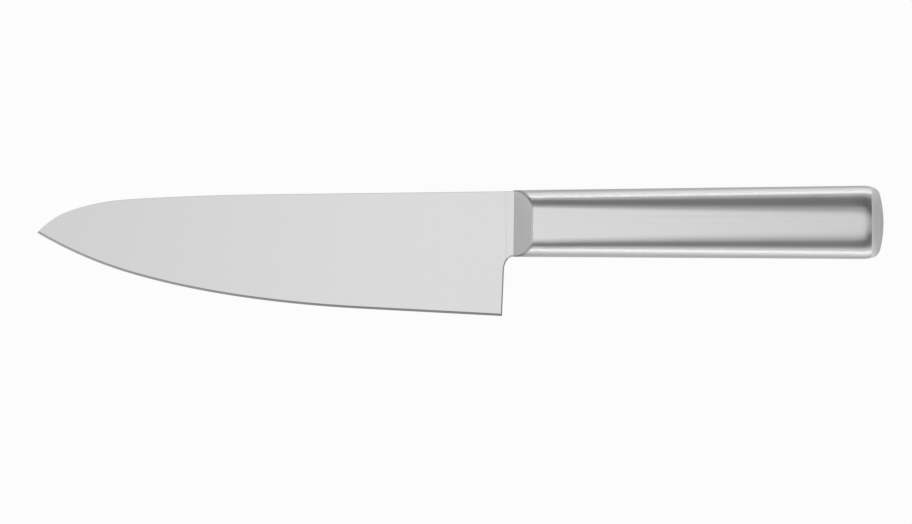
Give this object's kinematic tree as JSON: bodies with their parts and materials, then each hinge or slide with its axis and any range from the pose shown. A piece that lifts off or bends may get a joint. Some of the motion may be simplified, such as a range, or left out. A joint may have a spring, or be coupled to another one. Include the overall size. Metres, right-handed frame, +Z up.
{
  "type": "chef knife",
  "caption": "All-steel chef knife: curved ground blade with a heel, slanted bolster facets and a hollow round-edged handle that widens to a domed butt cap.",
  "frame": {"origin": "centre of the object's box in plan, on the surface that the knife lies on", "axes": "+X from the tip to the butt, +Y from the cutting edge to the spine, +Z up through the thickness as the knife lies on its side"},
  "size_m": [0.2708, 0.0414, 0.015],
  "materials": {
    "blade_steel": "even satin grind",
    "handle_steel": "fine lengthwise brushing, half bright",
    "satin_steel": "matt ground facets and dome",
    "weld_steel": "ground flush and brushed with the handle"
  },
  "bodies": {
    "root": {"blade": "blade_steel", "bolster": "satin_steel", "left_handle_shell": "handle_steel", "right_handle_shell": "handle_steel", "butt_cap": "satin_steel", "spine_seam_weld": "weld_steel", "belly_seam_weld": "weld_steel", "bolster_weld": "weld_steel", "cap_weld": "weld_steel", "tang_weld": "weld_steel"}
  },
  "joints": []
}
